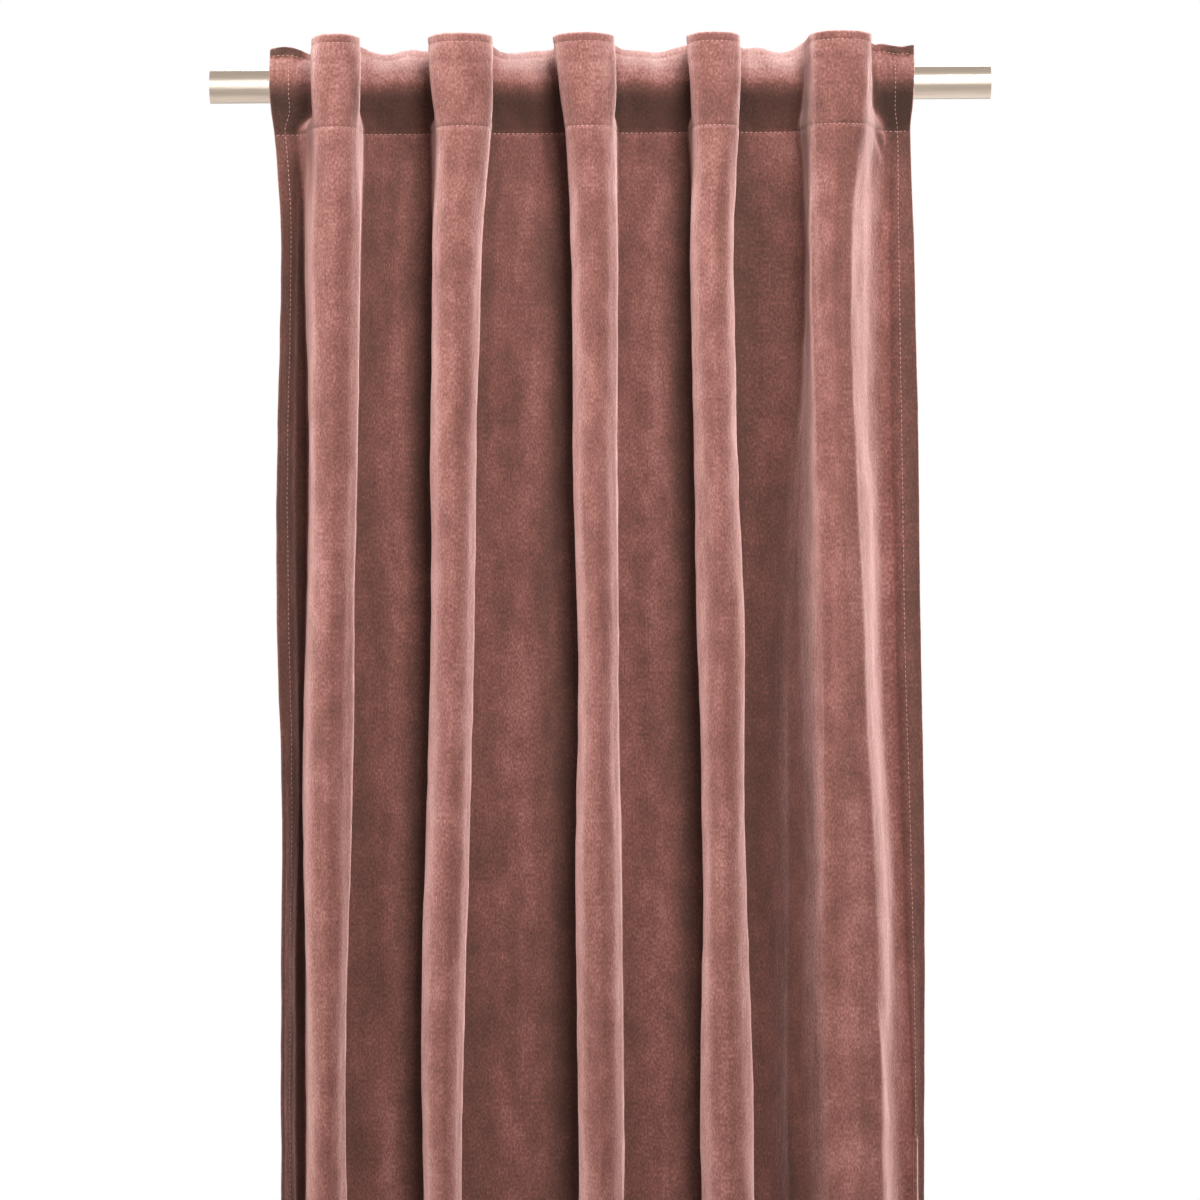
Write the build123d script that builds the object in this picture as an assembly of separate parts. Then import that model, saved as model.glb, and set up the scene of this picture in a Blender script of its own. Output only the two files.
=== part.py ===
from build123d import *
import os

# A hidden-tab curtain panel on its rod, in millimetres.
# Origin: on the rod's axis, at the middle of its length. +X runs along the rod to the
# viewer's right, the room side of the curtain faces -Y, and +Z is up.
#
# The cloth is divided into six columns that slide along the rod: column 0 is the left
# edge strip, and every other column is one round-fronted pleat with the flat strip to
# its right. A flat strip ends inside the open back of the next pleat, so the columns
# telescope when the curtain is gathered.

# Rod: a plain round steel tube, cut square.
rod_diameter = 28.0
rod_wall = 1.2
rod_length = 663.0

# Hung curtain: side edges, pleat sides and heights.
curtain_left = -280.5
curtain_right = 267.0
pleat_sides = [(-243.5, -199.0), (-144.0, -90.5), (-38.5, 12.5), (72.0, 118.0), (172.5, 227.5)]
pleat_front = -85.0
pleat_corner_radius = 20.0
pleat_top = 36.0
flat_top = 28.0
curtain_bottom = -2360.0

# Layers, from the room side to the rod.
cloth_thickness = 1.2
tape_thickness = 0.8
thread_thickness = 0.3
thread_width = 0.8
rod_clearance = 0.5

# Seams and hems.
header_seam = -41.0
tape_below_seam = 2.0
tape_below_top = 3.0
top_stitch_drop = 7.0
bottom_hem_height = 80.0
bottom_stitch_drop = 3.0
side_hem_width = 14.0
side_stitch_inset = 11.0

# Telescoping: how far a flat strip reaches under the next pleat, and the gap between
# the strip's thread and the rear edge of that pleat's left wall.
tuck = 3.0
telescope_gap = 0.5

# Rod tabs: webbing straps sewn to the heading tape above and below the rod.
tab_width = 26.0
tab_thickness = 1.0
tab_rod_clearance = 0.6
tab_apex = 18.0
tab_foot_low = 16.0
tab_foot_high = 24.0
tack_length = 20.0
tack_height = 1.2
tack_thickness = 0.4
tack_low = 20.0

# Places worked out from the sizes above.
rod_radius = rod_diameter / 2
flat_front = -(rod_radius + rod_clearance + tape_thickness + cloth_thickness)
tape_back = -(rod_radius + rod_clearance)
wall_rear = flat_front - thread_thickness - telescope_gap
tape_low = header_seam - tape_below_seam
column_count = len(pleat_sides) + 1
bottom_hem_top = curtain_bottom + bottom_hem_height


def box_between(low, high):
    """A block between two opposite corners."""
    size = [b - a for a, b in zip(low, high)]
    middle = [(a + b) / 2 for a, b in zip(low, high)]
    return Pos(*middle) * Box(*size)


def rounded_front(left, right, front, back):
    """Plan section of a block whose two front corners are rounded, concentric in every layer."""
    outline = Pos((left + right) / 2, (front + back) / 2) * Rectangle(right - left, back - front)
    radius = pleat_corner_radius - (front - pleat_front)
    return fillet(outline.vertices().group_by(Axis.Y)[0], radius)


def pleat_layer(column, inset, thickness, low, high):
    """One layer of a pleat: a channel open at the back, whose left wall stops before the flat."""
    left, right = pleat_sides[column - 1]
    back = flat_front + inset + thickness
    outer = rounded_front(left + inset, right - inset, pleat_front + inset, back)
    deep = inset + thickness
    inner = rounded_front(left + deep, right - deep, pleat_front + deep, back + 1)
    channel = Pos(0, 0, low) * extrude(outer - inner, high - low)
    behind_left_wall = box_between((left - 1, wall_rear, low - 1), (left + deep + 1, back + 1, high + 1))
    return channel - behind_left_wall


def flat_ends(column, inset):
    """Left and right end of a column's flat strip, where a layer meets its pleat's right wall."""
    left = curtain_left if column == 0 else pleat_sides[column - 1][1] - inset
    is_last = column == column_count - 1
    right = curtain_right if is_last else pleat_sides[column][0] + tuck
    return left, right


def flat_layer(column, inset, thickness, low, high):
    """One layer of a column's flat strip, in front of the rod."""
    left, right = flat_ends(column, inset + thickness)
    front = flat_front + inset
    return box_between((left, front, low), (right, front + thickness, high))


def column_layer(column, inset, thickness, low, flat_high, pleat_high):
    """One layer of a whole column: its flat strip and, past column 0, its pleat."""
    flat = flat_layer(column, inset, thickness, low, flat_high)
    if column == 0:
        return flat
    return flat + pleat_layer(column, inset, thickness, low, pleat_high)


def curtain_rod():
    """Plain tube along X."""
    wall = Circle(rod_radius) - Circle(rod_radius - rod_wall)
    return extrude(Plane.YZ * wall, rod_length / 2, both=True)


def face_cloth(column):
    """The velvet of one column, from the bottom edge to the top edge."""
    return column_layer(column, 0, cloth_thickness, curtain_bottom, flat_top, pleat_top)


def heading_tape(column):
    """Woven tape sewn to the back of the header."""
    return column_layer(
        column,
        cloth_thickness,
        tape_thickness,
        tape_low,
        flat_top - tape_below_top,
        pleat_top - tape_below_top,
    )


def bottom_hem(column):
    """The cloth turned up behind itself at the bottom edge."""
    return column_layer(
        column, cloth_thickness, cloth_thickness, curtain_bottom, bottom_hem_top, bottom_hem_top
    )


def thread_line(column, height):
    """A line of stitching on the room side, at one height along the whole column."""
    return column_layer(
        column, -thread_thickness, thread_thickness, height - thread_width / 2,
        height + thread_width / 2, height + thread_width / 2,
    )


def top_stitch(column):
    """Stitching just under the top edge, which stands higher on a pleat than on a flat."""
    half = thread_width / 2
    flat_height = flat_top - top_stitch_drop
    pleat_height = pleat_top - top_stitch_drop
    flat = flat_layer(column, -thread_thickness, thread_thickness, flat_height - half, flat_height + half)
    if column == 0:
        return flat
    pleat = pleat_layer(
        column, -thread_thickness, thread_thickness, pleat_height - half, pleat_height + half
    )
    return Compound([flat.solid(), pleat.solid()])


def side_hem(outer_edge, inward):
    """The cloth turned in behind itself at a side edge; inward is +1 at the left edge."""
    ends = sorted((outer_edge, outer_edge + inward * side_hem_width))
    front = flat_front + cloth_thickness
    return box_between((ends[0], front, bottom_hem_top), (ends[1], front + cloth_thickness, tape_low))


def side_hem_stitch(outer_edge, inward):
    """Stitching that holds a side hem, from the bottom hem's seam up to the header seam."""
    middle = outer_edge + inward * side_stitch_inset
    half = thread_width / 2
    low = bottom_hem_top
    return box_between(
        (middle - half, flat_front - thread_thickness, low),
        (middle + half, flat_front, tape_low),
    )


def tab_centre(column):
    """Middle of the flat strip that shows between two pleats."""
    left = curtain_left if column == 0 else pleat_sides[column - 1][1]
    right = curtain_right if column == column_count - 1 else pleat_sides[column][0]
    return (left + right) / 2


def strap_outline(radius, apex):
    """Side section around the rod's back: a circle drawn forward to two points on the tape."""
    anchor = Line((tape_back, -apex), (tape_back, apex))
    return make_hull(Circle(radius).edges() + [anchor])


def rod_tab(column):
    """One webbing strap that holds a column to the rod, with a sewn foot at each end."""
    inner_radius = rod_radius + tab_rod_clearance
    outer = strap_outline(inner_radius + tab_thickness, tab_apex)
    inner = strap_outline(inner_radius, tab_apex - tab_thickness)
    behind_tape = Pos(tape_back + 50, 0) * Rectangle(100, 100)
    section = (outer - inner) & behind_tape
    foot_middle = (tab_foot_low + tab_foot_high) / 2
    foot = Pos(tape_back + tab_thickness / 2, foot_middle) * Rectangle(
        tab_thickness, tab_foot_high - tab_foot_low
    )
    section = section + foot + mirror(foot, Plane.XZ)
    return Pos(tab_centre(column), 0, 0) * extrude(Plane.YZ * section, tab_width / 2, both=True)


def tab_tack(column):
    """Bar tacks across the upper and lower foot of a rod tab."""
    centre = tab_centre(column)
    front = tape_back + tab_thickness
    upper = box_between(
        (centre - tack_length / 2, front, tack_low),
        (centre + tack_length / 2, front + tack_thickness, tack_low + tack_height),
    )
    return Compound([upper.solid(), mirror(upper, Plane.XY).solid()])


def build():
    """Every sub-part by its node name."""
    parts = {"curtain_rod": curtain_rod()}
    for column in range(column_count):
        parts[f"face_cloth_{column}"] = face_cloth(column)
        parts[f"heading_tape_{column}"] = heading_tape(column)
        parts[f"rod_tab_{column}"] = rod_tab(column)
        parts[f"tab_tack_{column}"] = tab_tack(column)
        parts[f"top_stitch_{column}"] = top_stitch(column)
        parts[f"header_stitch_{column}"] = thread_line(column, header_seam)
        parts[f"bottom_hem_{column}"] = bottom_hem(column)
        parts[f"bottom_stitch_{column}"] = thread_line(column, bottom_hem_top - bottom_stitch_drop)
    parts["left_side_hem"] = side_hem(curtain_left, 1)
    parts["right_side_hem"] = side_hem(curtain_right, -1)
    parts["left_hem_stitch"] = side_hem_stitch(curtain_left, 1)
    parts["right_hem_stitch"] = side_hem_stitch(curtain_right, -1)
    return parts


os.makedirs("parts", exist_ok=True)
for name, shape in build().items():
    export_step(shape, f"parts/{name}.step")
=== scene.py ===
"""A velvet hidden-tab curtain panel on its rod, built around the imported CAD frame.

The velvet is one unbroken sheet: a grid of rows down the drop and columns across the width,
whose plan section follows five round-fronted pleats and the flat recesses between them.
The heading tape and the stitching are laid on that same grid, and the tabs on the tape.
Tables are in millimetres in the frame's axes; meshes are in metres.
"""
import math

import bpy
import numpy as np
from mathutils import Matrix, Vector, noise


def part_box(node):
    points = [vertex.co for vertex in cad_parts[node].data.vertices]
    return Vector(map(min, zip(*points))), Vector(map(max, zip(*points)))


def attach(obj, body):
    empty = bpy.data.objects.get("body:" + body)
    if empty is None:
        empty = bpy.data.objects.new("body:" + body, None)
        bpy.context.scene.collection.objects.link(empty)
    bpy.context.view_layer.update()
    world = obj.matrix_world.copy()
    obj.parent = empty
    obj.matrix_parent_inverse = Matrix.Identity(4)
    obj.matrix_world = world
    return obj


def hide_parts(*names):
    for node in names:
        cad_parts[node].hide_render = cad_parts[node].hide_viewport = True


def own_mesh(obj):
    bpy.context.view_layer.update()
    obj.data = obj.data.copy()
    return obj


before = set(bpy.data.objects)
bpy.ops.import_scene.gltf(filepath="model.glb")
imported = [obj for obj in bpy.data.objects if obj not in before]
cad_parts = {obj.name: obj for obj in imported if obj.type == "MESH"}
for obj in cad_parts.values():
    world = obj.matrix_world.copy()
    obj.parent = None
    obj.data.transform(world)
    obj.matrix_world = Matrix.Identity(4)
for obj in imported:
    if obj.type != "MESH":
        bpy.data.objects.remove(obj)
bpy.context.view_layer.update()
MM = 0.001


def node_box(name):
    """Lowest and highest corner of a CAD node, in millimetres."""
    low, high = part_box(name)
    return np.array(low) / MM, np.array(high) / MM


# ---------------------------------------------------------------- places from the frame
BANDS = 6
PLEATS = BANDS - 1

rod_low, rod_high = node_box("curtain_rod")
ROD_RADIUS = (rod_high[2] - rod_low[2]) / 2

cloth_boxes = [node_box(f"face_cloth_{k}") for k in range(BANDS)]
tab_boxes = [node_box(f"rod_tab_{k}") for k in range(BANDS)]
TAB_CENTRE = [(low[0] + high[0]) / 2 for low, high in tab_boxes]
TAB_WIDTH = tab_boxes[0][1][0] - tab_boxes[0][0][0]

EDGE_LEFT = cloth_boxes[0][0][0]
EDGE_RIGHT = cloth_boxes[-1][1][0]
PLEAT_TOP = cloth_boxes[1][1][2]
FLAT_TOP = cloth_boxes[0][1][2]
BOTTOM = cloth_boxes[1][0][2]
SEAM = (node_box("header_stitch_1")[0][2] + node_box("header_stitch_1")[1][2]) / 2
HEM_TOP = node_box("bottom_hem_1")[1][2]
HEM_SEAM = (node_box("bottom_stitch_1")[0][2] + node_box("bottom_stitch_1")[1][2]) / 2
SIDE_HEM = node_box("left_side_hem")[1][0] - EDGE_LEFT
SIDE_SEAM = (node_box("left_hem_stitch")[0][0] + node_box("left_hem_stitch")[1][0]) / 2 - EDGE_LEFT

# A recess shows from one pleat's right side to the next pleat's left side, and its tab
# hangs in the middle of it.
PLEAT_LEFT = [cloth_boxes[k][0][0] for k in range(1, BANDS)]
PLEAT_RIGHT = [2 * TAB_CENTRE[k] - PLEAT_LEFT[k] for k in range(1, PLEATS)]
PLEAT_RIGHT.append(2 * TAB_CENTRE[PLEATS] - EDGE_RIGHT)

# ---------------------------------------------------------------- how the cloth hangs
# Key heights: top edge, rod, above the header seam, on it, below it, then down the drop.
KEY_HEIGHTS = [36, 2, -20, -38, -72, -140, -438, -948, -1600, -2360]

# Sideways drift of each pleat's left and right silhouette from its place in the heading.
LEFT_DRIFT = [
    [2, 1, 1.5, 3, 3.5, -0.5, -4.5, -9.5, -11, -12],
    [0, 1.5, 4, 6, 7, 3.5, 0, -9, -12, -13],
    [0, 3.7, 6, 8.5, 11, 12.5, 15.5, 14, 12, 8],
    [1.5, 3.5, 4.5, 6, 6.5, 3.5, 5.5, 8.5, 9, 8],
    [4.5, 5, 4, 4, 4, 3.5, 10.5, 17, 18, 16],
]
RIGHT_DRIFT = [
    [-4.5, -2.5, -3.5, -5.5, -5, -4, -10.5, -18.5, -18, -16],
    [-1, -0.5, -1, -2.5, -5.5, -11, -19.5, -33.5, -33, -30],
    [-2, 0.5, -0.5, -2.5, -1.5, 1, -1, 1.5, 4, 4],
    [-1.5, -0.5, -1.5, -2.5, -4, -7, -1, 4, 6, 6],
    [0, -3, -4, -5, -11, -16, -11, 8, 10, 10],
]
# How far each pleat's walls stand in (+) or flare out (-) at their feet. The tabs pull them
# in at the rod, and they spring out again at the header seam.
LEFT_UNDERCUT = [
    [5, 6, 5, -13, -12, -9, -6.5, -6, -5, -5],
    [6, 6, 5, -6.5, -7, -2, 3, 4, 4, 4],
    [6, 6, 6, 4, 4, 4.5, 5, 5, 4, 4],
    [5, 5, 5, -3.3, -2, 1.5, 3, 4, 4, 4],
    [-3, -6, -6, -8.5, -5, -4, -24, -34, -34, -34],
]
RIGHT_UNDERCUT = [
    [3, 4, 3, -3, -2, 1, 3, 3, 0, 0],
    [3, 4, 4, 0, 1, 3, 3, 2, 0, 0],
    [3, 3, 3, -4, -3, -1, 0, -1, -3, -3],
    [3, 3, 3, 1, 2, 4, 5, 2, 0, 0],
    [-1, -6, -8, -16, -22, -24, -21, -18, -16, -14],
]
# How far forward each pleat stands.
FRONT = [
    [-77, -77, -77, -76, -77, -78, -80, -78, -74, -72],
    [-80, -80, -80, -80, -81, -82, -80, -76, -72, -70],
    [-78, -78, -78, -77, -78, -80, -82, -80, -78, -74],
    [-75, -75, -75, -74, -76, -78, -80, -80, -78, -76],
    [-80, -82, -82, -82, -82, -80, -70, -60, -58, -58],
]
# Side edges of the hung panel.
LEFT_EDGE_DRIFT = [1, 1, 2, 4, 7.5, 11, 7, 7.5, 5, 2]
RIGHT_EDGE_DRIFT = [-1, -2, -3, -4.5, -4, -2, 1.5, 4.5, 3, 0]

# The recess, seen from the side: the cloth leans back over the rod's top, wraps its front,
# is drawn in under it by the tab, and hangs plumb below the header seam.
RECESS_HEIGHTS = [28, 22, 16, 11, 6, 0, -6, -11, -16, -24, -33, -39, -42, -60, -140, -2360]
RECESS_DEPTHS = [6, -0.5, -7, -11.8, -14.8, -16, -15.4, -13.5, -10.5, -5.5, -0.5, 2.4, 2.8, 2, -1, -2]
# Below the seam a recess leans: how much further back its left side, middle and right side
# lie. A side that lies far back makes a deep crease beside the next pleat. LEAN_GROWTH is
# the share of this lean at each key height.
RECESS_LEAN = [(-20, -8, 6), (4, 2, 8), (4, 1, 9), (2, 2, 8), (12, 5, -14), (2, -3, 3)]
LEAN_GROWTH = [0, 0, 0, 0, 0.35, 0.7, 1, 1, 1, 1]
# Shades below are painted light and shade added to the velvet's colour, from -1 (much darker) to 1
# (lighter).
# Below the header seam, painted shade at each recess's left side, middle and right side:
RECESS_SHADE = [
    (-0.19, -0.24, -0.26),
    (-0.16, -0.02, -0.24),
    (-0.12, 0, -0.24),
    (-0.08, 0, -0.22),
    (-0.22, -0.12, -0.16),
    (-0.01, -0.01, -0.08),
]
# Painted shade over the side hems, below the header seam:
HEM_SHADE = -0.12
# The change from the heading's shades to those below takes this many millimetres.
SHADE_CHANGE = 60.0
# In the heading, painted shade darkens the pleats' walls, most of all level with the rod and
# below it, and the end flats and their rolled top edge.
WALL_SHADE = -0.55
WALL_SHADE_HEIGHTS = [-12, 20]
WALL_SHADE_SHARES = [1, 0.35]
END_SHADE = -0.16
LEFT_ROLL_SHADE = -0.7
RIGHT_ROLL_SHADE = -0.4
# Painted light makes the pleats' crowns lighter: at the left rim, in the middle and at the right rim.
CROWN_SHADE = [
    (0.13, 0.05, 0.06),
    (0.09, 0.06, 0.12),
    (0.12, 0.02, 0.08),
    (0.08, 0.03, 0.09),
    (0.04, -0.02, 0.08),
]
CROWN_RIM = 6.0
# Beside each pleat's right wall the cloth turns away; painted shade darkens it there.
RIGHT_WALL_SHADE = [-0.05, -0.1, -0.2, -0.16, -0.3]
RIGHT_WALL_WIDTH = 5.0
# In the header's recesses, from the top edge to the seam, painted shade, a little lighter just above a
# ragged line and darker below it, where the cloth rounds the front of the rod.
BAND_HEIGHTS = [30, 16, 8, 3, -2, -8, -41]
BAND_SHADES = [-0.02, -0.05, -0.01, 0.03, -0.07, -0.1, -0.07]
RAGGED_LINE = 2.2

# Top edge of a recess: how far it rises beside the pleats, the small waves between, and how
# far down the cloth they reach.
LIP_RISE = 5.0
LIP_WAVE = 1.5
LIP_LENGTH = 14.0
# At the panel's two ends the stitched top edge rolls forward.
END_ROLL = 5.0
END_RISE = 2.5

# Creases: start (x, z), end (x, z), depth, width.
CREASES = [
    ((233, -42), (240, -62), 2.2, 2.4),
    ((252, -43), (243, -60), 1.2, 2.2),
    ((-101, -470), (-62, -545), 1.0, 3.5),
    ((240, -590), (262, -690), 1.0, 3.0),
    ((224, -740), (244, -870), 2.0, 4.0),
    ((186, -300), (190, -960), -1.6, 2.6),
    ((-250, -36), (-246, -75), 1.5, 3.0),
    ((16, -36), (19, -66), 1.5, 2.5),
]

# ---------------------------------------------------------------- layers and seams
# Thicknesses of the velvet and the tape, and the distance between the velvet's layers.
CLOTH = 1.1
TAPE = 0.5
LAYER_GAP = 1.7
# How far the top edge is turned down behind, and how far below that edge its stitching runs.
TOP_FOLD = 20.0
TOP_STITCH = 6.5


def smooth_interpolate(keys, values, at):
    """A smooth curve through (key, value) pairs, for keys in either order."""
    keys = np.array(keys, float)
    values = np.array(values, float)
    order = np.argsort(keys)
    keys = keys[order]
    values = values[order]
    steps = np.diff(keys)
    slopes = np.diff(values) / steps
    tangents = np.zeros_like(values)
    same_way = slopes[1:] * slopes[:-1] > 0
    mean = 2 * slopes[1:] * slopes[:-1] / np.where(same_way, slopes[1:] + slopes[:-1], 1)
    tangents[1:-1] = np.where(same_way, mean, 0)
    tangents[0] = slopes[0]
    tangents[-1] = slopes[-1]
    at = np.clip(at, keys[0], keys[-1])
    i = np.clip(np.searchsorted(keys, at) - 1, 0, len(steps) - 1)
    t = (at - keys[i]) / steps[i]
    return (
        (2 * t**3 - 3 * t**2 + 1) * values[i]
        + (t**3 - 2 * t**2 + t) * steps[i] * tangents[i]
        + (3 * t**2 - 2 * t**3) * values[i + 1]
        + (t**3 - t**2) * steps[i] * tangents[i + 1]
    )


def through(points, samples):
    """Curves through control points, one curve for each row.

    points is (rows, count, 2); samples gives how many columns each span takes.
    """
    spans = np.linalg.norm(np.diff(points, axis=1), axis=2)
    before = np.diff(points, axis=1) / spans[..., None]
    weight = spans[:, 1:] / (spans[:, 1:] + spans[:, :-1])
    tangent = np.empty_like(points)
    tangent[:, 1:-1] = before[:, :-1] * weight[..., None] + before[:, 1:] * (1 - weight)[..., None]
    tangent[:, 0] = before[:, 0]
    tangent[:, -1] = before[:, -1]
    columns = []
    for i, count in enumerate(samples):
        t = np.arange(count)[None, :, None] / count
        length = spans[:, i, None, None]
        columns.append(
            (2 * t**3 - 3 * t**2 + 1) * points[:, i, None]
            + (t**3 - 2 * t**2 + t) * length * tangent[:, i, None]
            + (3 * t**2 - 2 * t**3) * points[:, i + 1, None]
            + (t**3 - t**2) * length * tangent[:, i + 1, None]
        )
    columns.append(points[:, -1:])
    return np.concatenate(columns, axis=1)


def gaussian(distance, width):
    """A smooth bump: 1 at no distance, falling to nearly 0 at twice the width."""
    return np.exp(-((distance / width) ** 2))


# ---------------------------------------------------------------- the grid
# Plan section of a pleat's wall: share of the way from its foot to the silhouette, share of the
# depth where the wall is upright, and share of the depth where it flares out in one S-curve.
FULL_FLARE = 18.0
WALL_SHARES = [(0.0, 0.05, 0.05), (0.3, 0.24, 0.17), (0.72, 0.48, 0.55), (1.0, 0.68, 0.81)]
WALL_SAMPLES = [3, 3, 3]
# Spans of its crown: share of the width, share of the depth, and how much depth it loses
# below the heading, where the pleat is rounder.
CROWN = [(0.07, 0.84, 0.08), (0.22, 0.945, 0.035), (0.5, 1.0, 0), (0.78, 0.945, 0.035), (0.93, 0.84, 0.08)]
FLARED_SHOULDER = 0.88
FRONT_SAMPLES = [3, 4, 4, 4, 4, 3]
# Control points of a recess: share of its width, and share of the rise its top edge has there.
RECESS_SHARES = [0.14, 0.5, 0.86]
RECESS_LIPS = [0.2, 0.0, 0.2]
RECESS_SAMPLES = [4, 5, 5, 4]


def grid_heights():
    """Distances down the cloth from the top edge, in millimetres, close together at seams."""
    heading = PLEAT_TOP - SEAM
    drop = PLEAT_TOP - BOTTOM
    near_top = [0, 1.2, 2.6, 4.2, 5.6, TOP_STITCH, 7.6, 9.4]
    header = list(np.arange(12, heading - 5, 2.6))
    seam = list(heading + np.array([-4, -2.4, -1.1, 0, 1.1, 2.4, 4, 6.5, 9.5]))
    upper = list(np.arange(heading + 13, heading + 110, 5))
    middle = list(np.arange(heading + 115, heading + 320, 10))
    hem_seam = PLEAT_TOP - HEM_SEAM
    body = list(np.linspace(heading + 325, hem_seam - 6, 112))
    hem = list(hem_seam + np.array([-3, -1.2, 0, 1.2, 3, 12, 24, 38, 52, 64]))
    return np.array(near_top + header + seam + upper + middle + body + hem + [drop - 3, drop])


DOWN = grid_heights()
HEADING_LENGTH = PLEAT_TOP - SEAM


def plan_section(z):
    """Plan section of the hung cloth at each height, (rows, columns, 2).

    With it come three traits of each column: how far it is a recess (1) or a crown (0), how
    much of the lip's rise it has, and the painted shade for its colour.
    """
    rows = len(z)
    depth_here = smooth_interpolate(RECESS_HEIGHTS, RECESS_DEPTHS, z)
    growth = smooth_interpolate(KEY_HEIGHTS, LEAN_GROWTH, z)
    points = []
    samples = []
    traits = []

    def add(x, y, recess, lip=0.0, shade=0.0):
        points.append(np.stack([x * np.ones(rows), y * np.ones(rows)], axis=1))
        traits.append((recess, lip, shade))

    def side_depth(band, side):
        return depth_here + growth * RECESS_LEAN[band][side]

    def add_recess(band, start, end):
        for share, lip in zip(RECESS_SHARES, RECESS_LIPS):
            back = np.interp(share, [0, 0.5, 1], RECESS_LEAN[band])
            shade = np.interp(share, [0.2, 0.5, 0.8], RECESS_SHADE[band])
            add(start + (end - start) * share, depth_here + growth * back, 1.0, lip, shade)
        samples.extend(RECESS_SAMPLES)

    def add_wall(band, side, foot, silhouette, front, flare, shares):
        foot_depth = side_depth(band, side)
        for share, deep, flared in shares:
            y = foot_depth + (front - foot_depth) * (deep + (flared - deep) * flare)
            shade = RECESS_SHADE[band][side] * max(0, 1 - 2 * deep)
            add(foot + (silhouette - foot) * share, y, 1 - deep, 1.0, shade)
        samples.extend(WALL_SAMPLES)

    edge = EDGE_LEFT + smooth_interpolate(KEY_HEIGHTS, LEFT_EDGE_DRIFT, z)
    add(edge, side_depth(0, 0), 1.0, 0.3, RECESS_SHADE[0][0])
    for k in range(PLEATS):
        left = PLEAT_LEFT[k] + smooth_interpolate(KEY_HEIGHTS, LEFT_DRIFT[k], z)
        right = PLEAT_RIGHT[k] + smooth_interpolate(KEY_HEIGHTS, RIGHT_DRIFT[k], z)
        undercut_left = smooth_interpolate(KEY_HEIGHTS, LEFT_UNDERCUT[k], z)
        undercut_right = smooth_interpolate(KEY_HEIGHTS, RIGHT_UNDERCUT[k], z)
        foot_left = left + undercut_left
        foot_right = right - undercut_right
        flares = [np.clip(-undercut / FULL_FLARE, 0, 1) for undercut in (undercut_left, undercut_right)]
        front = smooth_interpolate(KEY_HEIGHTS, FRONT[k], z)
        add_recess(k, edge, foot_left)
        add_wall(k, 2, foot_left, left, front, flares[0], WALL_SHARES)
        for share, deep, loss in CROWN:
            flare = flares[share > 0.5] if loss > 0.05 else 0
            round_deep = deep - loss * growth
            y = depth_here + (front - depth_here) * (round_deep + (FLARED_SHOULDER - round_deep) * flare)
            add(left + (right - left) * share, y, 1 - deep)
        samples.extend(FRONT_SAMPLES)
        add_wall(k + 1, 0, foot_right, right, front, flares[1], WALL_SHARES[::-1])
        edge = foot_right
    last = EDGE_RIGHT + smooth_interpolate(KEY_HEIGHTS, RIGHT_EDGE_DRIFT, z)
    add_recess(PLEATS, edge, last)
    add(last, side_depth(PLEATS, 2), 1.0, 0.3, RECESS_SHADE[PLEATS][2])
    section = through(np.stack(points, axis=1), samples)
    spread = [np.linspace(a, b, n, endpoint=False) for a, b, n in zip(traits, traits[1:], samples)]
    recess, lip, shade = np.concatenate(spread + [[traits[-1]]]).T
    return section, recess * recess * (3 - 2 * recess), lip, shade


def near_ends(x):
    """How near each point is to the panel's left end and to its right end, from 0 to 1."""
    at_left = 1 / (1 + np.exp((x - PLEAT_LEFT[0] + 8) / 3))
    at_right = 1 / (1 + np.exp((PLEAT_RIGHT[-1] + 8 - x) / 3))
    return at_left, at_right


def heading_shade(x, z, share, roll):
    """Painted light and shade in the heading; share is 1 in a recess and 0 on a crown."""
    at_left, at_right = near_ends(x)
    wall_shade = WALL_SHADE * np.interp(z, WALL_SHADE_HEIGHTS, WALL_SHADE_SHARES)
    shade = wall_shade * (4 * share * (1 - share)) + END_SHADE * (at_left + at_right)
    for right, dark in zip(PLEAT_RIGHT, RIGHT_WALL_SHADE):
        shade = shade + dark * gaussian(x - right - 1, RIGHT_WALL_WIDTH)
    ragged = RAGGED_LINE * (np.sin(x / 6.3) + 0.7 * np.sin(x / 2.9 + 2.0) + 0.5 * np.sin(x / 1.4))
    shade = shade + share**2 * smooth_interpolate(BAND_HEIGHTS, BAND_SHADES, z + ragged)
    crown_places = []
    for left, right in zip(PLEAT_LEFT, PLEAT_RIGHT):
        crown_places.extend([left + CROWN_RIM, (left + right) / 2, right - CROWN_RIM])
    shade = shade + (1 - share) ** 2 * np.interp(x, crown_places, np.ravel(CROWN_SHADE))
    return shade + roll * (LEFT_ROLL_SHADE * at_left + RIGHT_ROLL_SHADE * at_right)


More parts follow.
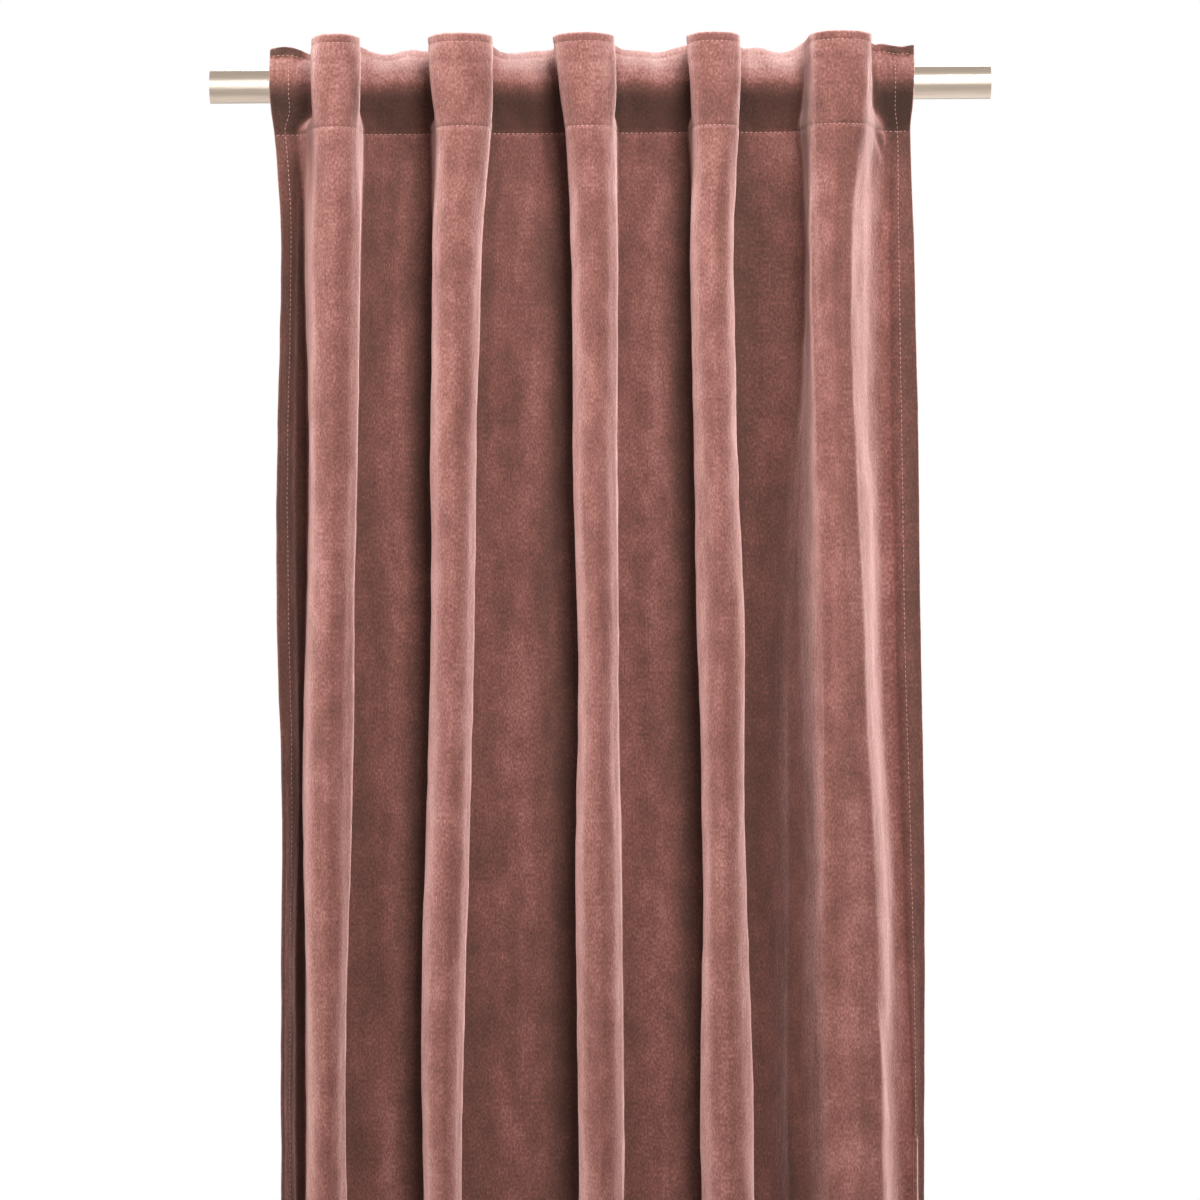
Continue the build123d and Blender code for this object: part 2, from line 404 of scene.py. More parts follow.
def hung_cloth(down):
    """The face cloth's middle surface, (rows, columns, 3), in millimetres, and painted light and shade for
    its colour.
    """
    heading = np.clip(down / HEADING_LENGTH, 0, 1)
    crown_z = PLEAT_TOP - down
    # A recess starts lower than a crown, but wraps the rod's front, so both meet the seam level.
    recess_z = crown_z - (PLEAT_TOP - FLAT_TOP) * (1 - heading)
    section, share, lip, shade = plan_section(crown_z)
    recess_section = plan_section(recess_z)[0]
    share = share[None, :]
    xy = section + (recess_section - section) * share[..., None]
    x = xy[..., 0]
    at_end = sum(near_ends(x))
    at_top = gaussian(down, LIP_LENGTH)[:, None]
    wave = np.sin(x / 9.0) + 0.6 * np.sin(x / 5.3 + 1.0)
    rise = LIP_RISE * lip[None, :] + LIP_WAVE * wave
    rise = (rise + END_RISE * at_end) * at_top * share
    z = crown_z[:, None] + (recess_z - crown_z)[:, None] * share + rise
    roll = np.clip(1 - down / (TOP_STITCH + 2), 0, 1)[:, None] ** 0.7
    xy[..., 1] -= END_ROLL * roll * at_end * (1 + 0.4 * np.sin(x / 2.3)) * share
    below_seam = np.clip((SEAM - z) / SHADE_CHANGE, 0, 1)
    in_heading = heading_shade(x, z, share, roll)
    return np.concatenate([xy, z[..., None]], axis=2), below_seam * shade + (1 - below_seam) * in_heading


surface, painted_light_shade_grid = hung_cloth(DOWN)
ROWS, COLUMNS = surface.shape[:2]


def back_normals(points):
    """Unit normals of a grid, pointing to the rod side of the cloth."""
    across = np.gradient(points, axis=1)
    along = np.gradient(points, axis=0)
    normal = np.cross(across, along)
    normal /= np.linalg.norm(normal, axis=2, keepdims=True)
    return normal


def noise_grid(points, scale, seed):
    """Smooth noise from -1 to 1 at every grid point; scale is (x, y, z) per millimetre."""
    shift = Vector((seed * 17.3, seed * 5.1, seed * 9.7))
    flat = points.reshape(-1, 3) * np.array(scale)
    values = [noise.noise(Vector(p) + shift) for p in flat]
    return np.array(values).reshape(points.shape[:2])


def crease(points, start, end, depth, width):
    """A groove along a line between two (x, z) places, as a push to the back of the cloth."""
    start = np.array(start, float)
    run = np.array(end, float) - start
    place = points[..., [0, 2]] - start
    along = np.clip((place @ run) / (run @ run), 0, 1)
    distance = np.linalg.norm(place - along[..., None] * run, axis=2)
    ends = np.sin(math.pi * np.clip(along, 0.08, 0.92)) ** 0.5
    return depth * gaussian(distance, width) * ends


def relax_and_wrinkle(points):
    """Natural unevenness: slow waves down the drop, soft folds, puckers, creases and layer edges."""
    normal = back_normals(points)
    down = DOWN[:, None]
    below = np.clip((down - HEADING_LENGTH) / 250, 0, 1)
    wave = noise_grid(points, (0.012, 0.006, 0.0035), 1) * 5.0 * below
    fold = noise_grid(points, (0.045, 0.02, 0.006), 2) * 2.2 * (0.15 + 0.85 * below)
    crumple = noise_grid(points, (0.07, 0.05, 0.035), 3) * 0.8
    seam = gaussian(down - HEADING_LENGTH, 1.6) * 0.45
    stitched_top = gaussian(down - TOP_STITCH, 1.5) * 0.35
    fold_edge = -0.6 / (1 + np.exp((down - TOP_FOLD) / 0.9))
    pucker_size = 0.5 * gaussian(down - HEADING_LENGTH - 2, 9)
    pucker = noise_grid(points, (0.16, 0.12, 0.05), 4) * pucker_size
    hem = PLEAT_TOP - HEM_SEAM
    hem_seam = gaussian(down - hem, 2.4) * 0.6
    creases = sum(crease(points, *line) for line in CREASES)
    offset = wave + fold + crumple + seam + stitched_top + fold_edge + pucker + hem_seam + creases
    return points + normal * offset[..., None]


surface = relax_and_wrinkle(surface)


# ---------------------------------------------------------------- mesh helpers
def new_object(name, vertices, faces):
    """A smooth-shaded mesh object from positions in metres."""
    mesh = bpy.data.meshes.new(name)
    mesh.from_pydata([tuple(v) for v in vertices], [], faces)
    mesh.update()
    mesh.polygons.foreach_set("use_smooth", [True] * len(mesh.polygons))
    piece = bpy.data.objects.new(name, mesh)
    bpy.context.collection.objects.link(piece)
    return piece


def grid_faces(rows, columns):
    """Quads of a grid, wound so that their normals face the room."""
    faces = []
    for r in range(rows - 1):
        for c in range(columns - 1):
            a = r * columns + c
            faces.append((a, a + columns, a + columns + 1, a + 1))
    return faces


def give_uv(piece, across, down):
    """UVs in metres of cloth, from one (across, down) pair per vertex."""
    layer = piece.data.uv_layers.new(name="cloth")
    index = np.empty(len(piece.data.loops), int)
    piece.data.loops.foreach_get("vertex_index", index)
    uv = np.stack([across.reshape(-1)[index], down.reshape(-1)[index]], axis=1)
    layer.data.foreach_set("uv", uv.reshape(-1))


def apply_modifiers(piece):
    """Bakes a piece's modifiers into its mesh."""
    graph = bpy.context.evaluated_depsgraph_get()
    mesh = bpy.data.meshes.new_from_object(piece.evaluated_get(graph))
    piece.modifiers.clear()
    piece.data = mesh


def thicken(piece, thickness):
    """Gives a sheet its thickness, half on each side."""
    solidify = piece.modifiers.new("thickness", "SOLIDIFY")
    solidify.thickness = thickness * MM
    solidify.offset = 0
    solidify.use_even_offset = False
    apply_modifiers(piece)


def arc_lengths(points):
    """Distance along each row of a grid, from its first column."""
    steps = np.linalg.norm(np.diff(points, axis=1), axis=2)
    start = np.zeros((len(points), 1))
    return np.concatenate([start, np.cumsum(steps, axis=1)], axis=1)


# ---------------------------------------------------------------- velvet sheet
# How far a folded edge bulges past the cloth that it turns back behind.
TURN = 0.7
# Painted light and shade for the velvet's colour: its value on upright cloth, how much a tilt of the
# cloth adds (leaning back to the light above) or takes (facing down), and the least and most that it can
# be.
UPRIGHT_PAINTED_TONE = 0.5
TILT_PAINTED_LIGHT_SHADE = 0.52
PAINTED_TONE_LIMITS = (-0.3, 1)


def with_side_hems(points, normal):
    """Adds the turned-in side hems as columns behind the face cloth.

    Also gives the face column that each column lies on, and 1 for each column over a hem.
    """
    lengths = arc_lengths(points)[len(points) // 2]
    inside_left = int(np.searchsorted(lengths, SIDE_HEM)) + 1
    inside_right = int(np.searchsorted(lengths[-1] - lengths[::-1], SIDE_HEM)) + 1
    behind = points + normal * LAYER_GAP
    left = behind[:, inside_left - 1 :: -1]
    right = behind[:, : -inside_right - 1 : -1]
    half = normal * LAYER_GAP / 2
    left_turn = points[:, :1] + half[:, :1] + np.array([-TURN, 0, 0])
    right_turn = points[:, -1:] + half[:, -1:] + np.array([TURN, 0, 0])
    grid = np.concatenate([left, left_turn, points, right_turn, right], axis=1)
    pick = list(range(inside_left - 1, -1, -1)) + [0] + list(range(points.shape[1]))
    pick += [points.shape[1] - 1] + list(range(points.shape[1] - 1, points.shape[1] - 1 - inside_right, -1))
    covered = np.zeros(grid.shape[1])
    covered[inside_left + 1 : 2 * inside_left + 2] = 1
    covered[-2 * inside_right - 2 : -inside_right - 1] = 1
    return grid, pick, covered


def fold_rows(grid, normal, start, rows, covered, turn):
    """Rows of cloth folded back behind the sheet, from its edge row inward."""
    steps = LAYER_GAP * (1 + 2 * covered)[None, :, None]
    folded = grid[rows] + normal[rows] * steps
    edge = grid[start : start + 1] + normal[start : start + 1] * steps / 2
    edge = edge + np.array([0, 0, turn])
    return np.concatenate([edge, folded], axis=0)


def painted_light_shade_values(points, shade):
    """Painted light and shade: lighter where the cloth leans back toward the light above, darker where it
    faces down and where the given painted shades darken it.
    """
    tilt = -back_normals(points)[..., 2]
    return np.clip(UPRIGHT_PAINTED_TONE + TILT_PAINTED_LIGHT_SHADE * tilt + shade, *PAINTED_TONE_LIMITS)


def point_attribute(mesh, name, values):
    """A number at every vertex, read by the velvet's material."""
    layer = mesh.attributes.new(name, "FLOAT", "POINT")
    layer.data.foreach_set("value", np.asarray(values, np.float32).reshape(-1))


def velvet_sheet():
    """The whole panel, hems included, as one sheet of velvet."""
    normal = back_normals(surface)
    grid, picked, covered = with_side_hems(surface, normal)
    grid_normal = normal[:, picked]
    top_rows = [i for i in range(ROWS) if DOWN[i] <= TOP_FOLD]
    hem_rows = [i for i in range(ROWS - 1, -1, -1) if DOWN[i] >= PLEAT_TOP - HEM_TOP]
    top = fold_rows(grid, grid_normal, 0, top_rows, covered, TURN)[::-1]
    hem = fold_rows(grid, grid_normal, ROWS - 1, hem_rows, covered, -TURN)
    whole = np.concatenate([top, grid, hem], axis=0)
    rows, columns = whole.shape[:2]
    piece = new_object("velvet_panel", whole.reshape(-1, 3) * MM, grid_faces(rows, columns))
    across = np.tile(arc_lengths(whole)[rows // 2], (rows, 1)) * MM
    lengths = np.linalg.norm(np.diff(whole[:, columns // 2], axis=0), axis=1)
    along = np.concatenate([[0], np.cumsum(lengths)]) * MM
    give_uv(piece, across, np.repeat(-along[:, None], columns, axis=1))
    # Painted light and shade for the colour, on the face cloth's rows; the folded rows get none.
    shade = np.zeros((rows, columns))
    below_seam = np.clip((SEAM - grid[..., 2]) / SHADE_CHANGE, 0, 1)
    shade[len(top) : len(top) + ROWS] = painted_light_shade_grid[:, picked] + HEM_SHADE * covered * below_seam
    point_attribute(piece.data, "painted_light_shade", painted_light_shade_values(whole, shade))
    thicken(piece, CLOTH)
    # Solidify keeps the first layer of vertices on the room side and adds the rear one after it.
    is_back = np.zeros(len(piece.data.vertices))
    is_back[rows * columns :] = 1
    point_attribute(piece.data, "backing", is_back)
    return piece, (across[0, -1], along[-1])


# ---------------------------------------------------------------- materials
def shader(name):
    """A new node material and its Principled shader."""
    material = bpy.data.materials.new(name)
    material.use_nodes = True
    return material, material.node_tree, material.node_tree.nodes["Principled BSDF"]


def add_node(tree, kind, **inputs):
    """A node with some of its inputs set; spaces in an input's name are written as underscores."""
    item = tree.nodes.new(kind)
    for key, value in inputs.items():
        item.inputs[key.replace("_", " ")].default_value = value
    return item


def stretched_noise(tree, stretch, scale, detail, roughness=0.55):
    """Noise on the cloth's own UVs, drawn out along the drop by stretch."""
    coordinates = tree.nodes.new("ShaderNodeUVMap")
    coordinates.uv_map = "cloth"
    mapping = add_node(tree, "ShaderNodeMapping", Scale=(1, 1 / stretch, 1))
    texture = add_node(tree, "ShaderNodeTexNoise", Scale=scale, Detail=detail, Roughness=roughness)
    tree.links.new(coordinates.outputs["UV"], mapping.inputs["Vector"])
    tree.links.new(mapping.outputs["Vector"], texture.inputs["Vector"])
    return texture.outputs["Fac"]


def blend_values(tree, a, b, share):
    """Weighted mean of two values."""
    mix = tree.nodes.new("ShaderNodeMix")
    mix.data_type = "FLOAT"
    mix.inputs["Factor"].default_value = share
    tree.links.new(a, mix.inputs["A"])
    tree.links.new(b, mix.inputs["B"])
    return mix.outputs["Result"]


def colour_ramp(tree, value, stops):
    """A colour ramp from (place, colour) stops."""
    ramp = tree.nodes.new("ShaderNodeValToRGB")
    elements = ramp.color_ramp.elements
    while len(elements) < len(stops):
        elements.new(0.5)
    for element, (place, colour) in zip(elements, stops):
        element.position = place
        element.color = (*colour, 1)
    tree.links.new(value, ramp.inputs["Fac"])
    return ramp.outputs["Color"]


def bump(tree, height, strength, distance, normal=None):
    """Bumps from a height value, on top of another bump's normal if one is given."""
    node = add_node(tree, "ShaderNodeBump", Strength=strength, Distance=distance)
    tree.links.new(height, node.inputs["Height"])
    if normal is not None:
        tree.links.new(normal, node.inputs["Normal"])
    return node.outputs["Normal"]


# How much lighter the colour is painted where the pile is seen from its side: a painted sheen.
PAINTED_SIDE_SHEEN = 0.14


def velvet_material():
    """Cut-pile velvet: dark face on, bright where it turns away by its sheen and a painted sheen, mottled
    where the nap lies over. The mesh gives painted light and shade to add to its colour, and says which
    side is the plain woven back.
    """
    material, tree, surface_shader = shader("dusty_rose_velvet")
    streaks = stretched_noise(tree, 4, 30, 7, 0.64)
    patches = stretched_noise(tree, 1.4, 40, 8, 0.72)
    pile = stretched_noise(tree, 1.8, 620, 1.5)
    even_nap = blend_values(tree, streaks, patches, 0.5)
    contrast = add_node(tree, "ShaderNodeMapRange", From_Min=0.3, From_Max=0.7, To_Min=0.25, To_Max=0.75)
    tree.links.new(even_nap, contrast.inputs["Value"])
    nap = contrast.outputs["Result"]
    lie = bump(tree, nap, 0.5, 0.0055)
    fibre = bump(tree, pile, 0.5, 0.0006, lie)
    mottle = blend_values(tree, nap, pile, 0.42)
    # Painted light and shade from the mesh, mixed into the colour's tone.
    painted_light_shade = tree.nodes.new("ShaderNodeAttribute")
    painted_light_shade.attribute_name = "painted_light_shade"
    tone = blend_values(tree, mottle, painted_light_shade.outputs["Fac"], 0.4)
    # Painted sheen: the colour is made lighter where the cloth is seen from its side.
    side_on = tree.nodes.new("ShaderNodeLayerWeight")
    tree.links.new(lie, side_on.inputs["Normal"])
    painted_sheen = add_node(tree, "ShaderNodeMapRange", From_Min=0.2, From_Max=0.8, To_Max=PAINTED_SIDE_SHEEN)
    painted_sheen.interpolation_type = "SMOOTHSTEP"
    tree.links.new(side_on.outputs["Facing"], painted_sheen.inputs["Value"])
    lit = tree.nodes.new("ShaderNodeMath")
    tree.links.new(tone, lit.inputs[0])
    tree.links.new(painted_sheen.outputs["Result"], lit.inputs[1])
    # From dark brown, where tone and painted shade are low, to pale pink, where painted light and sheen
    # lift it.
    colour = colour_ramp(
        tree,
        lit.outputs["Value"],
        [
            (0.28, (0.046, 0.024, 0.018)),
            (0.42, (0.096, 0.042, 0.033)),
            (0.5, (0.17, 0.066, 0.055)),
            (0.58, (0.28, 0.128, 0.112)),
            (0.70, (0.46, 0.275, 0.255)),
            (0.86, (0.72, 0.52, 0.50)),
        ],
    )
    backing = tree.nodes.new("ShaderNodeAttribute")
    backing.attribute_name = "backing"
    weave = stretched_noise(tree, 1, 900, 2)
    plain = colour_ramp(tree, weave, [(0.3, (0.25, 0.128, 0.11)), (0.7, (0.38, 0.215, 0.19))])
    sides = tree.nodes.new("ShaderNodeMix")
    sides.data_type = "RGBA"
    tree.links.new(backing.outputs["Fac"], sides.inputs["Factor"])
    tree.links.new(colour, sides.inputs["A"])
    tree.links.new(plain, sides.inputs["B"])
    tree.links.new(sides.outputs["Result"], surface_shader.inputs["Base Color"])
    sheen = add_node(tree, "ShaderNodeMapRange", To_Min=0.7, To_Max=0.1)
    tree.links.new(backing.outputs["Fac"], sheen.inputs["Value"])
    tree.links.new(sheen.outputs["Result"], surface_shader.inputs["Sheen Weight"])
    tree.links.new(fibre, surface_shader.inputs["Normal"])
    surface_shader.inputs["Roughness"].default_value = 0.75
    surface_shader.inputs["Specular IOR Level"].default_value = 0.1
    surface_shader.inputs["Sheen Roughness"].default_value = 0.42
    surface_shader.inputs["Sheen Tint"].default_value = (1.0, 0.64, 0.60, 1)
    return material


# Distance between the webbing's threads, in metres, across the cloth and down it. Threads lie
# high and low by turns: a wave of scale WAVE_SCALE / distance has one crest for every two threads.
WEAVE_PITCH = {"X": 0.0009, "Y": 0.0011}
WAVE_SCALE = 3.14159 / 20


def webbing_material():
    """Off-white woven tape: a plain weave, slightly coarser down the cloth than across it."""
    material, tree, surface_shader = shader("woven_tape")
    coordinates = tree.nodes.new("ShaderNodeUVMap")
    coordinates.uv_map = "cloth"
    weave = []
    for direction, pitch in WEAVE_PITCH.items():
        wave = add_node(tree, "ShaderNodeTexWave", Scale=WAVE_SCALE / pitch, Distortion=0.6, Detail=1)
        wave.bands_direction = direction
        tree.links.new(coordinates.outputs["UV"], wave.inputs["Vector"])
        weave.append(wave.outputs["Fac"])
    cloth = blend_values(tree, weave[0], weave[1], 0.5)
    uneven = stretched_noise(tree, 0.3, 120, 3)
    tone = blend_values(tree, cloth, uneven, 0.4)
    colour = colour_ramp(tree, tone, [(0.25, (0.58, 0.53, 0.46)), (0.75, (0.78, 0.74, 0.67))])
    tree.links.new(colour, surface_shader.inputs["Base Color"])
    tree.links.new(bump(tree, cloth, 0.6, 0.0004), surface_shader.inputs["Normal"])
    surface_shader.inputs["Roughness"].default_value = 0.85
    surface_shader.inputs["Sheen Weight"].default_value = 0.2
    return material


def thread_material(name, tint):
    """Spun sewing thread, a little lighter where its twist catches the light."""
    material, tree, surface_shader = shader(name)
    coordinates = tree.nodes.new("ShaderNodeTexCoord")
    twist = add_node(tree, "ShaderNodeTexNoise", Scale=1500, Detail=2)
    tree.links.new(coordinates.outputs["Object"], twist.inputs["Vector"])
    dark = tuple(0.75 * channel for channel in tint)
    light = tuple(min(1.0, 1.2 * channel) for channel in tint)
    colour = colour_ramp(tree, twist.outputs["Fac"], [(0.35, dark), (0.65, light)])
    tree.links.new(colour, surface_shader.inputs["Base Color"])
    tree.links.new(bump(tree, twist.outputs["Fac"], 0.4, 0.0002), surface_shader.inputs["Normal"])
    surface_shader.inputs["Roughness"].default_value = 0.6
    surface_shader.inputs["Sheen Weight"].default_value = 0.3
    return material


def steel_material():
    """Finely brushed steel: lines run along the rod."""
    material, tree, surface_shader = shader("brushed_steel")
    coordinates = tree.nodes.new("ShaderNodeTexCoord")
    mapping = add_node(tree, "ShaderNodeMapping", Scale=(0.02, 1, 1))
    lines = add_node(tree, "ShaderNodeTexNoise", Scale=1800, Detail=3)
    tree.links.new(coordinates.outputs["Object"], mapping.inputs["Vector"])
    tree.links.new(mapping.outputs["Vector"], lines.inputs["Vector"])
    colour = colour_ramp(tree, lines.outputs["Fac"], [(0.3, (0.84, 0.70, 0.59)), (0.7, (0.92, 0.81, 0.71))])
    tree.links.new(colour, surface_shader.inputs["Base Color"])
    tree.links.new(bump(tree, lines.outputs["Fac"], 0.15, 0.0003), surface_shader.inputs["Normal"])
    surface_shader.inputs["Metallic"].default_value = 1
    surface_shader.inputs["Roughness"].default_value = 0.24
    return material


# ---------------------------------------------------------------- heading tape and rod tabs
# How far the tape stays from the top edge and from the side edges, how far it passes the header
# seam, and how far its middle lies behind the face cloth's.
TAPE_BELOW_TOP = 3.0
TAPE_END_INSET = 6.0
TAPE_BELOW_SEAM = 2.0
LAYER_BEHIND = 1.0


def tape_offset(down):
    """How far the tape's middle lies behind the face cloth's, further over the folded top edge."""
    over_fold = 1 / (1 + np.exp((down - TOP_FOLD - 1) / 0.8))
    return LAYER_BEHIND + LAYER_GAP * over_fold


def tape_surface():
    """Positions of the heading tape's middle surface."""
    normal = back_normals(surface)
    rows = [i for i in range(ROWS) if TAPE_BELOW_TOP <= DOWN[i] <= HEADING_LENGTH + TAPE_BELOW_SEAM]
    lengths = arc_lengths(surface)[rows[len(rows) // 2]]
    columns = [c for c in range(COLUMNS) if TAPE_END_INSET <= lengths[c] <= lengths[-1] - TAPE_END_INSET]
    picked = np.ix_(rows, columns)
    return surface[picked] + normal[picked] * tape_offset(DOWN[rows])[:, None, None]


def heading_tape():
    """The woven tape behind the header, as one sheet, with its middle surface."""
    points = tape_surface()
    across = arc_lengths(points) * MM
    down = np.repeat(-points[:, :1, 2] * MM, points.shape[1], axis=1)
    piece = new_object("woven_heading_tape", points.reshape(-1, 3) * MM, grid_faces(*points.shape[:2]))
    give_uv(piece, across, down)
    thicken(piece, TAPE)
    return piece, points


def profile_at(points, x, near):
    """Side profile (y, z) of a grid where it crosses x, using the columns close to it."""
    middle = points[len(points) // 2, :, 0]
    columns = np.where(np.abs(middle - near) < TAB_WIDTH)[0]
    profile = []
    for row in points[:, columns]:
        order = np.argsort(row[:, 0])
        profile.append([np.interp(x, row[order, 0], row[order, axis]) for axis in (1, 2)])
    return np.array(profile)


# A strap's thickness and grid, the heights between which its two feet lie on the tape, and the
# angles, in degrees, at which it goes round the rod's back.
STRAP = 0.9
STRAP_COLUMNS = 9
FOOT_TOP = (25.0, 18.0)
FOOT_BOTTOM = (-20.0, -29.0)
FOOT_POINTS = 4
STRAP_WRAP = [78, 60, 40, 20, 0, -20, -40, -60, -78]
STRAP_ROD_GAP = 0.4
STRAP_TAPE_GAP = 0.1


def strap_paths(tape, band):
    """Middle lines of one rod tab, one for each column across its width."""
    centre = TAB_CENTRE[band]
    lift = (TAPE + STRAP) / 2 + STRAP_TAPE_GAP
    radius = ROD_RADIUS + STRAP / 2 + STRAP_ROD_GAP
    paths = []
    for x in np.linspace(centre - TAB_WIDTH / 2, centre + TAB_WIDTH / 2, STRAP_COLUMNS):
        profile = profile_at(tape, x, centre)
        order = np.argsort(profile[:, 1])

        def foot(heights):
            z = np.linspace(*heights, FOOT_POINTS)
            return np.stack([np.interp(z, profile[order, 1], profile[order, 0]) + lift, z], axis=1)

        angles = np.radians(STRAP_WRAP)
        wrap = np.stack([radius * np.cos(angles), radius * np.sin(angles)], axis=1)
        yz = np.concatenate([foot(FOOT_TOP), wrap, foot(FOOT_BOTTOM)])
        smooth = through(yz[None], [3] * (len(yz) - 1))[0]
        paths.append(np.concatenate([np.full((len(smooth), 1), x), smooth], axis=1))
    return np.stack(paths, axis=1)


def rod_tab(tape, band):
    """One hidden tab, a webbing strap sewn to the tape above and below the rod, with its paths."""
    paths = strap_paths(tape, band)
    rows, columns = paths.shape[:2]
    piece = new_object(f"hidden_tab_{band}", paths.reshape(-1, 3) * MM, grid_faces(rows, columns))
    across = np.tile(paths[0, :, 0] * MM, (rows, 1))
    lengths = np.linalg.norm(np.diff(paths[:, 0], axis=0), axis=1)
    along = np.concatenate([[0], np.cumsum(lengths)]) * MM
    give_uv(piece, across, np.repeat(-along[:, None], columns, axis=1))
    thicken(piece, STRAP)
    return piece, paths


# ---------------------------------------------------------------- stitching
STITCH_SIDES = 6
# Rings along one stitch: share of its length, share of its radius, and height in radii.
STITCH_STATIONS = [
    (0.0, 0.25, -1.2),
    (0.14, 0.8, -0.3),
    (0.5, 1.0, 0.2),
    (0.86, 0.8, -0.3),
    (1.0, 0.25, -1.2),
]


def stitches(runs, length=3.0, gap=1.1, radius=0.26):
    """Vertices and faces of lockstitches along runs of (points, outward normals), in millimetres.

    Each stitch is a short thread that rises out of the cloth and dips back in at both ends.
    """
    vertices = []
    faces = []
    for points, normals in runs:
        steps = np.linalg.norm(np.diff(points, axis=0), axis=1)
        along = np.concatenate([[0], np.cumsum(steps)])
        count = int(along[-1] // (length + gap))
        for i in range(count):
            start = i * (length + gap) + gap / 2
            base = len(vertices)
            for share, wide, high in STITCH_STATIONS:
                at = start + share * length
                centre = np.array([np.interp(at, along, points[:, a]) for a in range(3)])
                out = np.array([np.interp(at, along, normals[:, a]) for a in range(3)])
                ahead = np.array([np.interp(at + 0.5, along, points[:, a]) for a in range(3)])
                behind = np.array([np.interp(at - 0.5, along, points[:, a]) for a in range(3)])
                side = np.cross(ahead - behind, out)
                side /= np.linalg.norm(side) + 1e-9
                out /= np.linalg.norm(out) + 1e-9
                for turn in range(STITCH_SIDES):
                    angle = 2 * math.pi * turn / STITCH_SIDES
                    ring = side * math.cos(angle) + out * math.sin(angle)
                    vertices.append(centre + out * radius * high + ring * radius * wide)
            for ring in range(len(STITCH_STATIONS) - 1):
                for turn in range(STITCH_SIDES):
                    a = base + ring * STITCH_SIDES + turn
                    b = base + ring * STITCH_SIDES + (turn + 1) % STITCH_SIDES
                    faces.append((a, b, b + STITCH_SIDES, a + STITCH_SIDES))
            last = base + (len(STITCH_STATIONS) - 1) * STITCH_SIDES
            faces.append(tuple(range(base + STITCH_SIDES - 1, base - 1, -1)))
            faces.append(tuple(range(last, last + STITCH_SIDES)))
    return np.array(vertices), faces


def stitch_piece(name, runs, **sizes):
    """One piece of all the stitches along some runs."""
    vertices, faces = stitches(runs, **sizes)
    return new_object(name, vertices * MM, faces)


def across_run(down):
    """A run of stitches across the whole panel, at one distance down from the top edge."""
    row = int(np.argmin(np.abs(DOWN - down)))
    out = -back_normals(surface)[row]
    return surface[row] + out * CLOTH / 2, out


def down_run(inset, from_left):
    """A run of stitches down a side hem, from the top stitching to the bottom hem's seam."""
    lengths = arc_lengths(surface)[ROWS // 2]
    if not from_left:
        lengths = lengths[-1] - lengths
    column = int(np.argmin(np.abs(lengths - inset)))
    rows = (DOWN > TOP_STITCH + 2) & (DOWN < PLEAT_TOP - HEM_SEAM - 1)
    out = -back_normals(surface)[rows, column]
    return surface[rows, column] + out * CLOTH / 2, out


# Rows of a strap's grid that its bar tacks cross: two in its upper foot and two in its lower one.
TACK_ROWS = (4, 6, -7, -5)


def tack_runs(paths):
    """Bar tacks: two close rows of stitches across each foot of a strap."""
    runs = []
    for row in TACK_ROWS:
        line = paths[row, 1:-1]
        out = np.tile([0.0, 1.0, 0.0], (len(line), 1))
        runs.append((line + out * STRAP / 2, out))
    return runs


# ---------------------------------------------------------------- pieces
velvet = velvet_material()
panel, flat_size = velvet_sheet()
panel.data.materials.append(velvet)


def follows_the_fold(piece, band=0):
    """Rides on a band's body, with a mesh of its own."""
    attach(piece, f"band_{band}")
    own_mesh(piece)


follows_the_fold(panel)
cloth_nodes = [f"{part}_{k}" for part in ("face_cloth", "bottom_hem") for k in range(BANDS)]
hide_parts(*cloth_nodes, "left_side_hem", "right_side_hem")

webbing = webbing_material()
tape_piece, tape_points = heading_tape()
tape_piece.data.materials.append(webbing)
follows_the_fold(tape_piece)
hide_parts(*[f"heading_tape_{k}" for k in range(BANDS)])

rose_thread = thread_material("rose_thread", (0.46, 0.24, 0.21))
pale_thread = thread_material("pale_thread", (0.72, 0.68, 0.61))
for band in range(BANDS):
    tab, tab_paths = rod_tab(tape_points, band)
    tab.data.materials.append(webbing)
    follows_the_fold(tab, band)
    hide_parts(f"rod_tab_{band}")
    tack = stitch_piece(f"bar_tack_{band}", tack_runs(tab_paths), length=1.6, gap=0.3, radius=0.3)
    tack.data.materials.append(pale_thread)
    follows_the_fold(tack, band)
    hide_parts(f"tab_tack_{band}")

# Each line of stitching: its run, and the CAD nodes that it stands for.
seams = {
    "top_stitching": (across_run(TOP_STITCH), [f"top_stitch_{k}" for k in range(BANDS)]),
    "header_stitching": (across_run(HEADING_LENGTH), [f"header_stitch_{k}" for k in range(BANDS)]),
    "bottom_stitching": (across_run(PLEAT_TOP - HEM_SEAM), [f"bottom_stitch_{k}" for k in range(BANDS)]),
    "left_hem_stitching": (down_run(SIDE_SEAM, True), ["left_hem_stitch"]),
    "right_hem_stitching": (down_run(SIDE_SEAM, False), ["right_hem_stitch"]),
}
for seam_name, (seam_run, seam_nodes) in seams.items():
    seam_piece = stitch_piece(seam_name, [seam_run])
    seam_piece.data.materials.append(rose_thread)
    follows_the_fold(seam_piece)
    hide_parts(*seam_nodes)

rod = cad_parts["curtain_rod"]
rod.material_slots[0].material = steel_material()

# ---------------------------------------------------------------- stage, light, camera
# The camera's place, in metres, the height it sees at the rod's distance, and its roll in degrees.
VIEW_DISTANCE = 4.7
VIEW_HEIGHT = -0.438
VIEW_SIDE = -0.003
FRAME_HEIGHT = 1.02
ROLL = 0.36
SENSOR = 36.0
# A round floor, a little below the hem. Its far edge stays below the camera's view.
FLOOR_RADIUS = 12.0
FLOOR_SIDES = 128
FLOOR_GAP = 0.02


